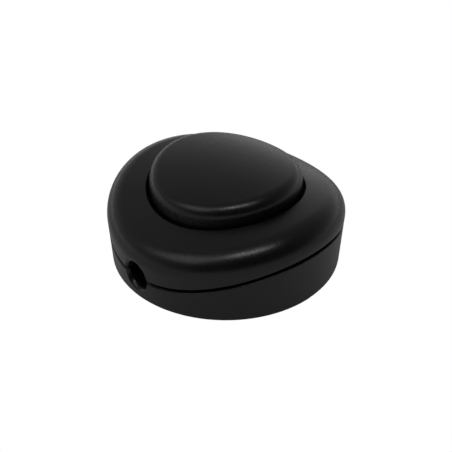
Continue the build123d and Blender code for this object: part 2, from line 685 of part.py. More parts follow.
def all_pieces():
    """Every piece of the switch by name."""
    pieces = {
        "base_shell": make_base_shell(),
        "top_cover": make_top_cover(),
        "foot_button": make_foot_button(),
        "plunger": make_plunger(),
        "drive_pawl": make_drive_pawl(),
        "return_spring": make_return_spring(),
        "mechanism_frame": make_mechanism_frame(),
        "frame_screws": make_frame_screws(),
        "ratchet_axle": make_ratchet_axle(),
        "ratchet_wheel": make_ratchet_wheel(),
        "detent_spring": make_detent_spring(),
        "contact_leaf": make_contact_leaf(),
        "leaf_contact_tip": Pos(TIP_OFFSET, CAM_Y, LEAF_Z) * contact_tip(False),
        "fixed_contact": make_fixed_contact(),
        "fixed_contact_tip": Pos(TIP_OFFSET, CAM_Y, STRIP_Z + STRIP_THICKNESS) * contact_tip(True),
        "live_in_terminal": make_live_terminal(-1),
        "live_out_terminal": make_live_terminal(1),
        "neutral_link": make_link(-1),
        "earth_link": make_link(1),
        "terminal_screws": make_terminal_screws(),
        "inlet_cord_clamp": make_cord_clamp(-1),
        "outlet_cord_clamp": make_cord_clamp(1),
        "cord_clamp_screws": make_clamp_screws(),
        "cover_screws": make_cover_screws(),
    }
    for place, x, y in foot_places():
        pieces["rubber_foot_" + place] = make_rubber_foot(x, y)
    return pieces


os.makedirs("parts", exist_ok=True)
for name, solid in all_pieces().items():
    export_step(solid, f"parts/{name}.step")
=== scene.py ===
import logging
from dataclasses import dataclass, replace
from enum import Enum
from functools import lru_cache
from math import cos, pi, radians, sin
from typing import Any, Sequence

import bpy
from mathutils import Matrix, Vector


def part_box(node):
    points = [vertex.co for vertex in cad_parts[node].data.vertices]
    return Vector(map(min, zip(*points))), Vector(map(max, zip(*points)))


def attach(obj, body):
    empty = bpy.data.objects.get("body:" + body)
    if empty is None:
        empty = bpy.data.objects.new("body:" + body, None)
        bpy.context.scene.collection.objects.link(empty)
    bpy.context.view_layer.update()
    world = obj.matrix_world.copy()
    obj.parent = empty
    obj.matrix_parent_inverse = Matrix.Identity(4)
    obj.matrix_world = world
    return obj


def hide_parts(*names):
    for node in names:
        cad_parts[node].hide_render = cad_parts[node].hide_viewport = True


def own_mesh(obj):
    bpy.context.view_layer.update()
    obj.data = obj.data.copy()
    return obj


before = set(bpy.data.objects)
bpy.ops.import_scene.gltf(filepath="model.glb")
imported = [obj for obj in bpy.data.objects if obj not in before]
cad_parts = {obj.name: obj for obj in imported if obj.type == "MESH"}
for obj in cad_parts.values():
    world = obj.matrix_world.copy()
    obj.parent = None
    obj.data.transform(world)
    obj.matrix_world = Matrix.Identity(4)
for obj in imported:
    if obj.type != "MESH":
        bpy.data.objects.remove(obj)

# A round in-line foot switch: satin black housing and press button outside, a push-push
# ratchet, contacts, terminals and cord clamps inside. Metres, +Z up, the cord runs along X.

LOG = logging.getLogger("foot_switch")
MM = 0.001
HOUSING_BODY = "housing"
MERGE_DISTANCE = 0.001 * MM

Point = tuple[float, float, float]
Ring = tuple[float, float]
Value = float | bpy.types.NodeSocket
Color = tuple[float, float, float, float] | bpy.types.NodeSocket

WHITE: Point = (1.0, 1.0, 1.0)

# Numbers of the Mix node's sockets for colours.
MIX_SHARE, MIX_FIRST, MIX_SECOND, MIX_RESULT = 0, 6, 7, 2

# A pan head from its seat to its crown, as shares of the head's radius and height.
PAN_HEAD: Sequence[Ring] = (
    (0.97, 0.0),
    (1.0, 0.1),
    (1.0, 0.45),
    (0.95, 0.7),
    (0.82, 0.88),
    (0.6, 0.97),
    (0.3, 1.0),
)


class Slot(Enum):
    """Names of the finishes that the new pieces wear."""

    SPRING_STEEL = "spring_steel"
    ZINC_STEEL = "zinc_steel"
    RUBBER_BLACK = "rubber_black"


class Lay(Enum):
    """Which way the fine marks of a metal surface run."""

    ALONG_CORD = (0.06, 1.0, 1.0)
    UPRIGHT = (1.0, 1.0, 0.06)
    TURNED = (1.0, 1.0, 1.0)


class ShaderSheet:
    """Places and links nodes on one shader node tree."""

    def __init__(self, tree: bpy.types.NodeTree) -> None:
        """Starts from an empty tree.

        Args:
            tree: the node tree of a material, world or group.
        """
        self.tree = tree
        tree.nodes.clear()

    def put(
        self, kind: str, inputs: dict[int | str, Any] | None = None, **settings: Any
    ) -> bpy.types.Node:
        """Adds one node.

        Args:
            kind: the node's type name.
            inputs: a value or a socket to link from, by input name or number.
            settings: properties of the node itself.

        Returns:
            The new node.
        """
        node = self.tree.nodes.new(kind)
        for key, value in settings.items():
            setattr(node, key, value)
        for key, value in (inputs or {}).items():
            if isinstance(value, bpy.types.NodeSocket):
                self.tree.links.new(value, node.inputs[key])
            else:
                node.inputs[key].default_value = value
        return node

    def math(self, operation: str, first: Value, second: Value) -> bpy.types.NodeSocket:
        """Adds one sum on two values or sockets.

        Args:
            operation: the Math node's operation.
            first: a number or a socket.
            second: a number or a socket.

        Returns:
            The result's socket.
        """
        return self.put("ShaderNodeMath", {0: first, 1: second}, operation=operation).outputs[0]

    def remap(
        self, value: Value, low: float, high: float, to_low: float = 0.0, to_high: float = 1.0
    ) -> bpy.types.NodeSocket:
        """Moves a value from one range to another, held at its ends.

        Args:
            value: the socket that is read.
            low: start of the range that is read.
            high: end of the range that is read.
            to_low: what low becomes.
            to_high: what high becomes.

        Returns:
            The result's socket.
        """
        inputs = {
            "Value": value,
            "From Min": low,
            "From Max": high,
            "To Min": to_low,
            "To Max": to_high,
        }
        return self.put("ShaderNodeMapRange", inputs, clamp=True).outputs["Result"]

    def blend(self, share: Value, first: Color, second: Color) -> bpy.types.NodeSocket:
        """Mixes two colours.

        Args:
            share: how much of the second colour shows.
            first: a colour or a socket.
            second: a colour or a socket.

        Returns:
            The mixed colour's socket.
        """
        inputs = {MIX_SHARE: share, MIX_FIRST: first, MIX_SECOND: second}
        return self.put("ShaderNodeMix", inputs, data_type="RGBA").outputs[MIX_RESULT]

    def noise(
        self, given: bpy.types.Node, detail: float, roughness: float
    ) -> bpy.types.NodeSocket:
        """Adds a noise at the place and scale that a group is given.

        Args:
            given: the group's input node.
            detail: how many finer layers the noise has.
            roughness: how strong the finer layers are.

        Returns:
            The noise's socket.
        """
        inputs = {
            "Vector": given.outputs["Vector"],
            "Scale": given.outputs["Scale"],
            "Detail": detail,
            "Roughness": roughness,
        }
        return self.put("ShaderNodeTexNoise", inputs).outputs[0]

    def effect(
        self, group: bpy.types.NodeTree, place: bpy.types.NodeSocket, scale: float, **inputs: float
    ) -> bpy.types.Node:
        """Adds one of the shared effects.

        Args:
            group: the effect's node group.
            place: the coordinates that the effect lies on.
            scale: the scale of its pattern.
            inputs: its other inputs, by name.

        Returns:
            The group's node.
        """
        given = {"Vector": place, "Scale": scale, **inputs}
        return self.put("ShaderNodeGroup", given, node_tree=group)

    def camera_apart(self, lit: bpy.types.Node, seen: bpy.types.Node) -> bpy.types.NodeSocket:
        """Shows the camera one shader, while all other rays meet another.

        Args:
            lit: the shader that lights the switch.
            seen: the shader that the camera sees.

        Returns:
            The mixed shader's socket.
        """
        path = self.put("ShaderNodeLightPath")
        inputs = {0: path.outputs["Is Camera Ray"], 1: lit.outputs[0], 2: seen.outputs[0]}
        return self.put("ShaderNodeMixShader", inputs).outputs[0]


def rgba(color: Point, gain: float = 1.0) -> tuple[float, float, float, float]:
    """Gives a colour, made lighter or darker, with full cover."""
    red, green, blue = color
    return (red * gain, green * gain, blue * gain, 1.0)


def new_material(name: str) -> tuple[bpy.types.Material, ShaderSheet]:
    """Starts a material.

    Args:
        name: the material's name.

    Returns:
        The material and its empty sheet.
    """
    material = bpy.data.materials.new(name)
    material.use_nodes = True
    return material, ShaderSheet(material.node_tree)


def new_group(
    name: str, inputs: Sequence[str], outputs: Sequence[str]
) -> tuple[ShaderSheet, bpy.types.Node, bpy.types.Node]:
    """Starts a shader node group.

    Args:
        name: the group's name.
        inputs: names of its inputs; the one called Vector is a vector, the rest are numbers.
        outputs: names of its outputs, all numbers.

    Returns:
        The group's sheet, its input node and its output node.
    """
    tree = bpy.data.node_groups.new(name, "ShaderNodeTree")
    for label in inputs:
        kind = "NodeSocketVector" if label == "Vector" else "NodeSocketFloat"
        tree.interface.new_socket(label, in_out="INPUT", socket_type=kind)
    for label in outputs:
        tree.interface.new_socket(label, in_out="OUTPUT", socket_type="NodeSocketFloat")
    sheet = ShaderSheet(tree)
    return sheet, sheet.put("NodeGroupInput"), sheet.put("NodeGroupOutput")


@lru_cache(maxsize=None)
def mould_grain() -> bpy.types.NodeTree:
    """Builds the pebbled grain that a textured mould leaves.

    Returns:
        A group that gives the grain's height and how deep its pits are.
    """
    cell_ratio, cell_softness = 0.62, 0.6
    fine_share, pit_share = 0.6, 0.4
    sheet, given, result = new_group("mould_grain", ("Vector", "Scale"), ("Height", "Pits"))
    fine = sheet.noise(given, detail=2.0, roughness=0.55)
    cell_scale = sheet.math("MULTIPLY", given.outputs["Scale"], cell_ratio)
    cells = sheet.put(
        "ShaderNodeTexVoronoi",
        {"Vector": given.outputs["Vector"], "Scale": cell_scale, "Smoothness": cell_softness},
        feature="SMOOTH_F1",
    )
    pits = sheet.remap(cells.outputs["Distance"], 0.15, 0.75)
    height = sheet.math(
        "ADD", sheet.math("MULTIPLY", fine, fine_share), sheet.math("MULTIPLY", pits, pit_share)
    )
    sheet.tree.links.new(height, result.inputs["Height"])
    sheet.tree.links.new(pits, result.inputs["Pits"])
    return sheet.tree


@lru_cache(maxsize=None)
def surface_drift() -> bpy.types.NodeTree:
    """Builds the slow unevenness of a handled surface.

    Returns:
        A group that gives the unevenness from 0 to 1.
    """
    sheet, given, result = new_group("surface_drift", ("Vector", "Scale"), ("Drift",))
    clouds = sheet.noise(given, detail=4.0, roughness=0.6)
    sheet.tree.links.new(sheet.remap(clouds, 0.3, 0.7), result.inputs["Drift"])
    return sheet.tree


@lru_cache(maxsize=None)
def edge_rub() -> bpy.types.NodeTree:
    """Builds the broken rub along outward edges.

    Returns:
        A group that gives the rub from 0 to 1.
    """
    flat_turn, edge_turn = 0.99, 0.8
    sheet, given, result = new_group("edge_rub", ("Vector", "Width", "Scale"), ("Rub",))
    eased = sheet.put("ShaderNodeBevel", {"Radius": given.outputs["Width"]}, samples=6)
    surface = sheet.put("ShaderNodeNewGeometry")
    turn = sheet.put(
        "ShaderNodeVectorMath",
        {0: eased.outputs[0], 1: surface.outputs["Normal"]},
        operation="DOT_PRODUCT",
    )
    near_edge = sheet.remap(turn.outputs["Value"], flat_turn, edge_turn)
    worn = sheet.remap(sheet.noise(given, detail=5.0, roughness=0.7), 0.4, 0.65)
    sheet.tree.links.new(sheet.math("MULTIPLY", near_edge, worn), result.inputs["Rub"])
    return sheet.tree


@lru_cache(maxsize=None)
def drawn_marks() -> bpy.types.NodeTree:
    """Builds the fine lines that drawing, rolling or turning leaves on metal.

    Returns:
        A group that gives the lines from 0 to 1.
    """
    sheet, given, result = new_group("drawn_marks", ("Vector", "Scale"), ("Marks",))
    lines = sheet.noise(given, detail=3.0, roughness=0.65)
    sheet.tree.links.new(sheet.remap(lines, 0.35, 0.65), result.inputs["Marks"])
    return sheet.tree


@dataclass(frozen=True)
class MouldedPlastic:
    """Plastic with the grain of its mould."""

    name: str
    color: Point
    roughness: float
    grain_scale: float = 2600.0
    grain_depth: float = 0.03 * MM
    grain_strength: float = 0.36
    pit_dulling: float = 0.06
    drift_scale: float = 90.0
    drift_dark: float = 0.82
    drift_light: float = 1.18
    drift_smooth: float = 0.92
    drift_rough: float = 1.08
    rub_scale: float = 900.0
    rub_width: float = 0.35 * MM
    rub_share: float = 0.25
    rub_gain: float = 3.0
    rub_polish: float = 0.5
    specular: float = 0.5
    glow: float = 0.0
    glow_reach: Point = (1.0, 0.8, 0.6)
    glow_depth: float = 0.6 * MM

    def build(self) -> bpy.types.Material:
        """Makes the material.

        Returns:
            The new material.
        """
        material, sheet = new_material(self.name)
        place = sheet.put("ShaderNodeTexCoord").outputs["Object"]
        grain = sheet.effect(mould_grain(), place, self.grain_scale)
        drift = sheet.effect(surface_drift(), place, self.drift_scale).outputs["Drift"]
        rub = sheet.effect(edge_rub(), place, self.rub_scale, Width=self.rub_width).outputs["Rub"]
        dark, light = rgba(self.color, self.drift_dark), rgba(self.color, self.drift_light)
        share = sheet.math("MULTIPLY", rub, self.rub_share)
        color = sheet.blend(
            share, sheet.blend(drift, dark, light), rgba(self.color, self.rub_gain)
        )
        smooth, rough = self.roughness * self.drift_smooth, self.roughness * self.drift_rough
        handled = sheet.remap(drift, 0.0, 1.0, smooth, rough)
        pitted = sheet.math("MULTIPLY", grain.outputs["Pits"], self.pit_dulling)
        polished = sheet.math("MULTIPLY", share, self.roughness * self.rub_polish)
        bump = sheet.put(
            "ShaderNodeBump",
            {
                "Height": grain.outputs["Height"],
                "Strength": self.grain_strength,
                "Distance": self.grain_depth,
            },
        )
        surface = sheet.put(
            "ShaderNodeBsdfPrincipled",
            {
                "Base Color": color,
                "Roughness": sheet.math("SUBTRACT", sheet.math("ADD", handled, pitted), polished),
                "Normal": bump.outputs[0],
                "Specular IOR Level": self.specular,
                "Subsurface Weight": self.glow,
                "Subsurface Radius": self.glow_reach,
                "Subsurface Scale": self.glow_depth,
            },
        )
        sheet.put("ShaderNodeOutputMaterial", {"Surface": surface.outputs[0]})
        return material


@dataclass(frozen=True)
class WorkedMetal:
    """Bare or plated metal with the marks of its making."""

    name: str
    color: Point
    roughness: float
    lay: Lay
    mark_scale: float = 2600.0
    mark_depth: float = 0.006 * MM
    mark_strength: float = 0.3
    mark_dulling: float = 0.12
    drift_scale: float = 260.0
    dull_gain: float = 0.72
    dull_rough: float = 1.25
    clean_rough: float = 0.85
    rub_scale: float = 1500.0
    rub_width: float = 0.15 * MM
    rub_gain: float = 1.15

    def build(self) -> bpy.types.Material:
        """Makes the material.

        Returns:
            The new material.
        """
        material, sheet = new_material(self.name)
        place = sheet.put("ShaderNodeTexCoord").outputs["Object"]
        laid = sheet.put("ShaderNodeMapping", {"Vector": place, "Scale": self.lay.value})
        marks = sheet.effect(drawn_marks(), laid.outputs[0], self.mark_scale).outputs["Marks"]
        drift = sheet.effect(surface_drift(), place, self.drift_scale).outputs["Drift"]
        rub = sheet.effect(edge_rub(), place, self.rub_scale, Width=self.rub_width).outputs["Rub"]
        tarnish = sheet.blend(drift, rgba(self.color, self.dull_gain), rgba(self.color))
        dull, clean = self.roughness * self.dull_rough, self.roughness * self.clean_rough
        handled = sheet.remap(drift, 0.0, 1.0, dull, clean)
        scored = sheet.math("MULTIPLY", marks, self.mark_dulling)
        bump = sheet.put(
            "ShaderNodeBump",
            {"Height": marks, "Strength": self.mark_strength, "Distance": self.mark_depth},
        )
        surface = sheet.put(
            "ShaderNodeBsdfPrincipled",
            {
                "Base Color": sheet.blend(rub, tarnish, rgba(self.color, self.rub_gain)),
                "Roughness": sheet.math("ADD", handled, scored),
                "Normal": bump.outputs[0],
                "Metallic": 1.0,
            },
        )
        sheet.put("ShaderNodeOutputMaterial", {"Surface": surface.outputs[0]})
        return material


Finish = MouldedPlastic | WorkedMetal

SHELL_BLACK = MouldedPlastic("satin_black_shell", (0.004, 0.004, 0.0043), 0.27)
BUTTON_BLACK = MouldedPlastic(
    "satin_black_button", (0.004, 0.004, 0.0043), 0.27, drift_scale=70.0
)
CLAMP_BLACK = MouldedPlastic("matt_black_clamp", (0.02, 0.02, 0.021), 0.55)
RUBBER_BLACK = MouldedPlastic(
    "soft_black_rubber",
    (0.014, 0.014, 0.014),
    0.78,
    grain_scale=2200.0,
    grain_depth=0.05 * MM,
    specular=0.3,
)
NYLON_WHITE = MouldedPlastic("natural_nylon", (0.72, 0.7, 0.64), 0.5, rub_gain=1.1, glow=0.08)
ACETAL_WHITE = MouldedPlastic(
    "white_acetal", (0.8, 0.79, 0.76), 0.3, grain_strength=0.12, rub_gain=1.1, glow=0.06
)
SPRING_STEEL = WorkedMetal("drawn_spring_steel", (0.42, 0.42, 0.44), 0.28, Lay.UPRIGHT)
ZINC_STEEL = WorkedMetal("bright_zinc", (0.62, 0.64, 0.68), 0.3, Lay.TURNED)
BRASS = WorkedMetal("machined_brass", (0.78, 0.58, 0.26), 0.25, Lay.ALONG_CORD)
BRONZE = WorkedMetal("rolled_bronze", (0.68, 0.42, 0.22), 0.3, Lay.ALONG_CORD)
SILVER = WorkedMetal("contact_silver", (0.86, 0.85, 0.83), 0.16, Lay.TURNED)


def material_of(finish: Finish) -> bpy.types.Material:
    """Gives a finish's material, made when it is first asked for."""
    return bpy.data.materials.get(finish.name) or finish.build()


def dress(finish: Finish, nodes: Sequence[str]) -> None:
    """Lays a finish on CAD nodes through their material slots.

    Args:
        finish: the finish to lay on.
        nodes: names of the CAD nodes.
    """
    material = material_of(finish)
    for name in nodes:
        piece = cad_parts[name]
        if not piece.material_slots:
            piece.data.materials.append(material)
        for held in piece.material_slots:
            held.material = material
        LOG.info("%s is dressed in %s", name, finish.name)


def stand_in(piece: bpy.types.Object, finish: Finish, node: str) -> None:
    """Dresses a modelled piece and puts it on the housing in place of a CAD node.

    Args:
        piece: the modelled piece.
        finish: the finish to lay on.
        node: the CAD node that it shows in more detail.
    """
    piece.data.materials.append(material_of(finish))
    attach(piece, HOUSING_BODY)
    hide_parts(node)


class Workbench:
    """Operator steps that the modelled pieces share."""

    @staticmethod
    def clear() -> None:
        """Deselects everything, so that an operator acts on the next piece only."""
        if bpy.context.mode != "OBJECT":
            bpy.ops.object.mode_set(mode="OBJECT")
        bpy.ops.object.select_all(action="DESELECT")

    @staticmethod
    def choose(piece: bpy.types.Object) -> None:
        """Makes one piece the only selected and active one.

        Args:
            piece: the piece that is chosen.
        """
        Workbench.clear()
        piece.select_set(True)
        bpy.context.view_layer.objects.active = piece

    @staticmethod
    def apply(piece: bpy.types.Object, kind: str, **settings: Any) -> None:
        """Adds a modifier and applies it at once.

        Args:
            piece: the piece that is changed.
            kind: the modifier's type.
            settings: the modifier's properties.
        """
        Workbench.choose(piece)
        step = piece.modifiers.new(kind.lower(), kind)
        for key, value in settings.items():
            setattr(step, key, value)
        bpy.ops.object.modifier_apply(modifier=step.name)

    @staticmethod
    def join(piece: bpy.types.Object, other: bpy.types.Object, operation: str) -> None:
        """Adds another piece to a piece or cuts it out, and removes the other one.

        Args:
            piece: the piece that is changed.
            other: the piece that is added or cut out.
            operation: the Boolean modifier's operation.
        """
        Workbench.apply(piece, "BOOLEAN", operation=operation, solver="EXACT", object=other)
        bpy.data.objects.remove(other)

    @staticmethod
    def close(piece: bpy.types.Object, angle: float = 35.0) -> None:
        """Merges doubles, fills open ends, turns the faces outwards and smooths all but edges.

        Args:
            piece: the piece that is finished.
            angle: edges that bend more than this many degrees stay sharp.
        """
        Workbench.choose(piece)
        bpy.ops.object.mode_set(mode="EDIT")
        bpy.ops.mesh.select_all(action="SELECT")
        bpy.ops.mesh.remove_doubles(threshold=MERGE_DISTANCE)
        bpy.ops.mesh.fill_holes(sides=0)
        bpy.ops.mesh.select_all(action="SELECT")
        bpy.ops.mesh.normals_make_consistent(inside=False)
        bpy.ops.object.mode_set(mode="OBJECT")
        bpy.ops.object.shade_smooth_by_angle(angle=radians(angle))

    @staticmethod
    def raise_rings(
        name: str, rings: Sequence[Ring], sides: int, centre: Ring = (0.0, 0.0)
    ) -> bpy.types.Object:
        """Models a round piece by extruding and resizing a disc from ring to ring.

        Args:
            name: the piece's name.
            rings: radius and height of each ring, in the order they are extruded.
            sides: number of sides of the disc.
            centre: x and y of the upright axis.

        Returns:
            The modelled piece, its place in its mesh.
        """
        Workbench.clear()
        radius, height = rings[0]
        bpy.ops.mesh.primitive_circle_add(
            vertices=sides, radius=radius, fill_type="NGON", location=(*centre, height)
        )
        piece = bpy.context.object
        piece.name = name
        bpy.ops.object.transform_apply(location=True, rotation=True, scale=True)
        bpy.ops.object.mode_set(mode="EDIT")
        bpy.ops.mesh.select_all(action="SELECT")
        for next_radius, next_height in rings[1:]:
            rise = (0.0, 0.0, next_height - height)
            bpy.ops.mesh.extrude_region_move(TRANSFORM_OT_translate={"value": rise})
            ratio = next_radius / radius
            bpy.ops.transform.resize(
                value=(ratio, ratio, 1.0), center_override=(*centre, next_height)
            )
            radius, height = next_radius, next_height
        bpy.ops.object.mode_set(mode="OBJECT")
        Workbench.close(piece)
        return piece

    @staticmethod
    def copies(
        source: bpy.types.Object, name: str, places: Sequence[Matrix]
    ) -> bpy.types.Object:
        """Copies a modelled piece to its places as one object, and removes the first one.

        Args:
            source: the piece that is copied.
            name: the name of the joined copies.
            places: where each copy goes.

        Returns:
            The joined copies.
        """
        made = []
        for place in places:
            mesh = source.data.copy()
            mesh.transform(place)
            copy = bpy.data.objects.new(name, mesh)
            bpy.context.scene.collection.objects.link(copy)
            made.append(copy)
        bpy.data.objects.remove(source)
        Workbench.choose(made[0])
        for copy in made:
            copy.select_set(True)
        bpy.ops.object.join()
        made[0].name = name
        return made[0]


@dataclass(frozen=True)
class ThreadedScrew:
    """A pan-head screw with a cross recess and a cut thread, point downwards."""

    head_radius: float
    head_height: float
    shank_radius: float
    length: float
    pitch: float = 0.9 * MM
    sides: int = 40
    core_share: float = 0.76
    tip_share: float = 0.25
    point_share: float = 0.35
    bare_tip: float = 0.6
    ridge_half: float = 0.36
    ridge_root: float = 0.9
    recess_reach: float = 0.58
    recess_slimness: float = 5.5
    recess_depth: float = 0.55
    recess_over: float = 0.1
    recess_taper: float = 0.72

    def build(self, name: str) -> bpy.types.Object:
        """Models one screw with its seat at the origin.

        Args:
            name: the screw's name.

        Returns:
            The modelled screw.
        """
        core = self.shank_radius * self.core_share
        tip = min(self.length * self.tip_share, self.shank_radius)
        rings = [(core * self.point_share, -self.length), (core, -self.length + tip), (core, 0.0)]
        rings += [(self.head_radius * wide, self.head_height * high) for wide, high in PAN_HEAD]
        screw = Workbench.raise_rings(name, rings, self.sides)
        Workbench.join(screw, self.thread(core, tip), "UNION")
        Workbench.join(screw, self.recess(), "DIFFERENCE")
        Workbench.close(screw)
        return screw

    def thread(self, core: float, tip: float) -> bpy.types.Object:
        """Winds the thread's ridge round the shank.

        Args:
            core: radius of the shank under the thread.
            tip: length of the point.

        Returns:
            The ridge as a closed piece.
        """
        Workbench.clear()
        bpy.ops.mesh.primitive_circle_add(vertices=3, radius=self.pitch / 2)
        ridge = bpy.context.object
        bare = tip * self.bare_tip
        start = bare - self.length
        root, half = core * self.ridge_root, self.pitch * self.ridge_half
        corners = ((root, -half), (self.shank_radius, 0.0), (root, half))
        for vertex, (reach, rise) in zip(ridge.data.vertices, corners):
            vertex.co = (reach, 0.0, start + rise)
        turns = max(1, int((self.length - bare - self.pitch) / self.pitch))
        Workbench.apply(
            ridge,
            "SCREW",
            axis="Z",
            angle=2 * pi,
            screw_offset=self.pitch,
            iterations=turns,
            steps=self.sides,
            render_steps=self.sides,
        )
        Workbench.close(ridge)
        return ridge

    def recess(self) -> bpy.types.Object:
        """Models the tapered cross that is cut into the head.

        Returns:
            The cutter.
        """
        arm = self.head_radius * self.recess_reach
        half = arm / self.recess_slimness
        over = self.head_height * self.recess_over
        drop = self.head_height * self.recess_depth + over
        taper = (self.recess_taper, self.recess_taper, 1.0)
        blades = []
        for reach in ((arm, half), (half, arm)):
            Workbench.clear()
            bpy.ops.mesh.primitive_plane_add(
                size=2.0, location=(0.0, 0.0, self.head_height + over)
            )
            blade = bpy.context.object
            blade.scale = (*reach, 1.0)
            bpy.ops.object.transform_apply(location=True, rotation=True, scale=True)
            bpy.ops.object.mode_set(mode="EDIT")
            bpy.ops.mesh.select_all(action="SELECT")
            bpy.ops.mesh.extrude_region_move(TRANSFORM_OT_translate={"value": (0.0, 0.0, -drop)})
            bpy.ops.transform.resize(value=taper, center_override=(0.0, 0.0, 0.0))
            bpy.ops.object.mode_set(mode="OBJECT")
            Workbench.close(blade)
            blades.append(blade)
        Workbench.join(blades[0], blades[1], "UNION")
        return blades[0]

    def place(self, node: str, places: Sequence[Matrix]) -> None:
        """Models the screw once and copies it to every place of a CAD node's screws.

        Args:
            node: the CAD node that the screws stand for.
            places: where each screw goes.
        """
        screws = Workbench.copies(self.build(node), node + "_threaded", places)
        stand_in(screws, ZINC_STEEL, node)
        LOG.info("%s: %d screws", screws.name, len(places))


COVER_SCREW = ThreadedScrew(
    head_radius=2.75 * MM,
    head_height=2.0 * MM,
    shank_radius=1.5 * MM,
    length=14.0 * MM,
    pitch=1.2 * MM,
)
SHORT_SCREW = ThreadedScrew(
    head_radius=2.2 * MM, head_height=1.6 * MM, shank_radius=1.2 * MM, length=6.0 * MM
)
TERMINAL_SCREW = replace(SHORT_SCREW, length=2.1 * MM, pitch=0.5 * MM)


@dataclass
class Housing:
    """The two moulded shells, the screws that hold them together and the rubber feet."""

    shells: Sequence[str] = ("base_shell", "top_cover")
    screw: ThreadedScrew = COVER_SCREW
    screw_offset: float = 28.4 * MM
    screw_seat: float = 5.6 * MM
    foot_names: Sequence[str] = ("front_left", "front_right", "rear_left", "rear_right")
    foot_sides: int = 64
    sole_edge: float = 0.3 * MM
    sole_round: float = 0.09 * MM
    groove_depth: float = 0.22 * MM
    groove_slope: float = 0.1 * MM
    groove_count: int = 3

    def build(self) -> None:
        """Dresses the shells and models the screws and feet."""
        dress(SHELL_BLACK, self.shells)
        self.build_screws()
        for name in self.foot_names:
            self.build_foot(name)

    def build_screws(self) -> None:
        """Models the two long screws, heads down in their recesses."""
        over = Matrix.Rotation(pi, 4, "X")
        seats = [(0.0, side * self.screw_offset, self.screw_seat) for side in (-1, 1)]
        self.screw.place("cover_screws", [Matrix.Translation(seat) @ over for seat in seats])

    def build_foot(self, name: str) -> None:
        """Models one rubber foot with grip rings on its sole.

        Args:
            name: which corner it is at.
        """
        node = "rubber_foot_" + name
        low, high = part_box(node)
        radius = (high.x - low.x) / 2
        middle = ((low.x + high.x) / 2, (low.y + high.y) / 2)
        flat = radius - self.sole_edge
        rings = [
            (radius, high.z),
            (radius, low.z + self.sole_edge),
            (radius - self.sole_round, low.z + self.sole_round),
            (flat, low.z),
        ]
        step = flat / (2 * self.groove_count + 1)
        floor = low.z + self.groove_depth
        for k in range(self.groove_count):
            outer = flat - (2 * k + 1) * step
            rings += [
                (outer, low.z),
                (outer - self.groove_slope, floor),
                (outer - step + self.groove_slope, floor),
                (outer - step, low.z),
            ]
        foot = Workbench.raise_rings("grip_foot_" + name, rings, self.foot_sides, middle)
        stand_in(foot, RUBBER_BLACK, node)
        LOG.info("%s: %d grip rings", foot.name, self.groove_count)


@dataclass
class PressButton:
    """The domed button, its plunger and pawl, and the coil that lifts it."""

    wire: float = 1.2 * MM
    wire_sides: int = 14
    open_turns: float = 4.0
    closed_turns: float = 0.75
    steps_per_turn: int = 56
    ground: float = 0.3 * MM
    travel: float = 4.0 * MM

    def build(self) -> None:
        """Dresses the button's pieces and models the coil."""
        dress(BUTTON_BLACK, ("foot_button",))
        dress(ACETAL_WHITE, ("plunger",))
        dress(SPRING_STEEL, ("drive_pawl",))
        self.build_coil()

    def build_coil(self) -> None:
        """Models the return coil with closed, ground ends between its seat and the button."""
        low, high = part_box("return_spring")
        radius = (high.x - low.x) / 2 - self.wire / 2
        turns = self.open_turns + 2 * self.closed_turns
        steps = int(turns * self.steps_per_turn)
        Workbench.clear()
        bpy.ops.mesh.primitive_circle_add(
            vertices=self.wire_sides,
            radius=self.wire / 2,
            location=(radius, 0.0, low.z),
            rotation=(pi / 2, 0.0, 0.0),
        )
        coil = bpy.context.object
        coil.name = "return_coil"
        bpy.ops.object.transform_apply(location=True, rotation=True, scale=True)
        Workbench.apply(
            coil,
            "SCREW",
            axis="Z",
            angle=turns * 2 * pi,
            screw_offset=0.0,
            steps=steps,
            render_steps=steps,
        )
        self.wind(coil, low.z, high.z, turns)
        Workbench.close(coil)
        stand_in(coil, SPRING_STEEL, "return_spring")
        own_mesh(coil)

    def wind(self, coil: bpy.types.Object, seat: float, top: float, turns: float) -> None:
        """Lifts the rings of the wire into a coil whose end turns are closed and ground flat.

        Args:
            coil: the wire, wound flat.
            seat: height of the lower seat.
            top: height of the upper seat.
            turns: number of turns.
        """
        start = seat + self.wire / 2 - self.ground
        end = top - self.wire / 2 + self.ground
        closed_rise = self.closed_turns * self.wire
        open_rise = end - start - 2 * closed_rise
        last = len(coil.data.vertices) // self.wire_sides - 1
        for number, vertex in enumerate(coil.data.vertices):
            turn = turns * (number // self.wire_sides) / last
            opened = min(max(turn - self.closed_turns, 0.0), self.open_turns)
            lower = min(turn, self.closed_turns) * self.wire
            middle = opened / self.open_turns * open_rise
            upper = max(turn - self.closed_turns - self.open_turns, 0.0) * self.wire
            height = vertex.co.z + start - seat + lower + middle + upper
            vertex.co.z = min(max(height, seat), top)


@dataclass
class RatchetMechanism:
    """The frame with its wheel, axle, detent spring and screws."""

    screw: ThreadedScrew = SHORT_SCREW
    ear_reach: float = 12.733 * MM
    ear_angle: float = 45.0
    ear_seat: float = 7.0 * MM

    def build(self) -> None:
        """Dresses the mechanism and models its screws."""
        dress(NYLON_WHITE, ("mechanism_frame",))
        dress(ACETAL_WHITE, ("ratchet_wheel",))
        dress(SPRING_STEEL, ("detent_spring",))
        dress(ZINC_STEEL, ("ratchet_axle",))
        along = self.ear_reach * cos(radians(self.ear_angle))
        across = self.ear_reach * sin(radians(self.ear_angle))
        seats = [(side * along, side * across, self.ear_seat) for side in (-1, 1)]
        self.screw.place("frame_screws", [Matrix.Translation(seat) for seat in seats])


